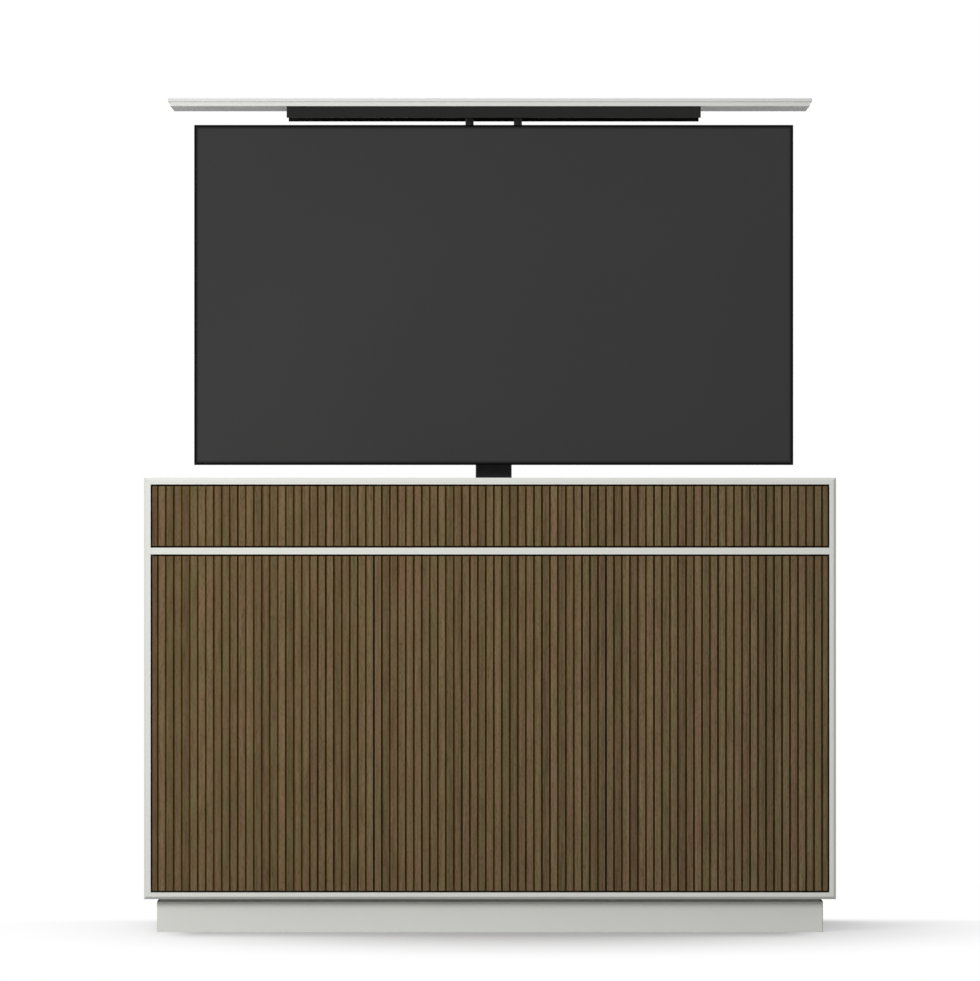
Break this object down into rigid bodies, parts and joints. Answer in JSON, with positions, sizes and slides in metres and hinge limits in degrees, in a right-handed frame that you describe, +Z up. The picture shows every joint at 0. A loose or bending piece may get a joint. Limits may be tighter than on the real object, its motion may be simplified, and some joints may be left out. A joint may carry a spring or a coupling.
{
  "type": "tv lift cabinet",
  "caption": "Low media cabinet with slatted walnut-finish doors and drop-down flap, whose lid and flat screen rise from the top on a telescopic motorised column.",
  "frame": {"origin": "on the floor under the middle of the carcass, between its two sides and halfway from front to back", "axes": "+X to the right as seen from the front, -Y towards the front, +Z up; the rest pose has the lift fully raised and every door closed"},
  "size_m": [1.652, 0.58, 2.007],
  "materials": {
    "lacquer": "satin white lacquer on board",
    "carcass_inside": "satin white lacquer on board",
    "walnut_slat": "matte oiled walnut",
    "walnut_panel": "matte dark-stained walnut veneer",
    "black_steel": "matte black powder coat",
    "zinc_steel": "zinc plated",
    "nickel_steel": "nickel plated",
    "motor_steel": "black enamel",
    "glide_plastic": "natural acetal",
    "grey_plastic": "moulded",
    "black_plastic": "fine-textured moulding",
    "bezel": "black anodised",
    "screen_glass": "anti-glare coated",
    "bronze": "machined bronze"
  },
  "bodies": {
    "cabinet": {"side_panel_left": "lacquer", "side_panel_right": "lacquer", "top_panel": "lacquer", "bottom_panel": "lacquer", "soundbar_shelf": "lacquer", "dividers": "carcass_inside", "bay_partition": "carcass_inside", "back_panel": "carcass_inside", "back_access_panel": "carcass_inside", "back_panel_screws": "zinc_steel", "back_rail": "carcass_inside", "plinth_frame": "lacquer", "shelves": "carcass_inside", "shelf_pins": "nickel_steel", "hinge_plates": "nickel_steel", "hinge_arms": "nickel_steel", "latch_bodies": "grey_plastic", "lift_base_plate": "black_steel", "lift_gearbox": "motor_steel", "lift_motor": "motor_steel", "column_outer": "black_steel", "column_glides_outer": "glide_plastic", "column_bracket": "black_steel", "control_box": "black_plastic", "anchor_bolts": "zinc_steel"},
    "lower_screw": {"lower_screw": "zinc_steel"},
    "middle_stage": {"column_middle": "black_steel", "column_glides_middle": "glide_plastic", "lower_nut": "bronze"},
    "upper_screw": {"upper_screw": "zinc_steel"},
    "carriage": {"column_inner": "black_steel", "column_glides_inner": "glide_plastic", "upper_nut": "bronze", "mast_head": "black_steel", "tv_mount_frame": "black_steel", "vesa_arms": "black_steel", "vesa_bolts": "zinc_steel", "tv_chassis": "zinc_steel", "tv_rear_cover": "black_plastic", "tv_bezel": "bezel", "tv_screen": "screen_glass"},
    "lid": {"lid_panel": "lacquer", "lid_carrier": "black_steel", "lid_posts": "black_steel"},
    "door_left": {"door_left_panel": "walnut_panel", "door_left_slats": "walnut_slat", "door_left_hinge_cups": "nickel_steel"},
    "door_centre": {"door_centre_panel": "walnut_panel", "door_centre_slats": "walnut_slat", "door_centre_hinge_cups": "nickel_steel"},
    "door_right": {"door_right_panel": "walnut_panel", "door_right_slats": "walnut_slat", "door_right_hinge_cups": "nickel_steel"},
    "flap": {"flap_panel": "walnut_panel", "flap_slats": "walnut_slat", "flap_hinge_cups": "nickel_steel"},
    "latch_plunger_left": {"latch_plunger_left": "grey_plastic"},
    "latch_plunger_centre": {"latch_plunger_centre": "grey_plastic"},
    "latch_plunger_right": {"latch_plunger_right": "grey_plastic"},
    "latch_plunger_flap": {"latch_plunger_flap": "grey_plastic"}
  },
  "joints": [
    {"name": "lift_middle_slide", "type": "slide", "parent": "cabinet", "child": "middle_stage", "axis": [0, 0, 1], "range_m": [-0.4605, 0]},
    {"name": "lift_inner_slide", "type": "slide", "parent": "middle_stage", "child": "carriage", "axis": [0, 0, 1], "range_m": [-0.4605, 0]},
    {"name": "lower_screw_spin", "type": "hinge", "parent": "cabinet", "child": "lower_screw", "pos_m": [0.009, 0.188, 0.16], "axis": [0, 0, 1], "continuous": true},
    {"name": "upper_screw_spin", "type": "hinge", "parent": "middle_stage", "child": "upper_screw", "pos_m": [0.009, 0.188, 0.66], "axis": [0, 0, 1], "continuous": true},
    {"name": "lid_float", "type": "slide", "parent": "carriage", "child": "lid", "axis": [0, 0, 1], "range_m": [0, 0.045]},
    {"name": "door_left_hinge", "type": "hinge", "parent": "cabinet", "child": "door_left", "pos_m": [-0.806, -0.289, 0.5], "axis": [0, 0, -1], "range_deg": [0, 105]},
    {"name": "door_centre_hinge", "type": "hinge", "parent": "cabinet", "child": "door_centre", "pos_m": [-0.27545, -0.289, 0.5], "axis": [0, 0, -1], "range_deg": [0, 105]},
    {"name": "door_right_hinge", "type": "hinge", "parent": "cabinet", "child": "door_right", "pos_m": [0.806, -0.289, 0.5], "axis": [0, 0, 1], "range_deg": [0, 105]},
    {"name": "flap_hinge", "type": "hinge", "parent": "cabinet", "child": "flap", "pos_m": [0, -0.289, 0.923], "axis": [1, 0, 0], "range_deg": [0, 90]},
    {"name": "latch_left_push", "type": "slide", "parent": "cabinet", "child": "latch_plunger_left", "axis": [0, 1, 0], "range_m": [0, 0.003], "stiffness_N_per_m": 600},
    {"name": "latch_centre_push", "type": "slide", "parent": "cabinet", "child": "latch_plunger_centre", "axis": [0, 1, 0], "range_m": [0, 0.003], "stiffness_N_per_m": 600},
    {"name": "latch_right_push", "type": "slide", "parent": "cabinet", "child": "latch_plunger_right", "axis": [0, 1, 0], "range_m": [0, 0.003], "stiffness_N_per_m": 600},
    {"name": "latch_flap_push", "type": "slide", "parent": "cabinet", "child": "latch_plunger_flap", "axis": [0, 1, 0], "range_m": [0, 0.003], "stiffness_N_per_m": 600}
  ],
  "couplings": [
    {"joint": "lift_inner_slide", "follows": "lift_middle_slide", "ratio": 1},
    {"joint": "lower_screw_spin", "follows": "lift_middle_slide", "rad_per_m": 392.7},
    {"joint": "upper_screw_spin", "follows": "lift_middle_slide", "rad_per_m": 392.7}
  ]
}
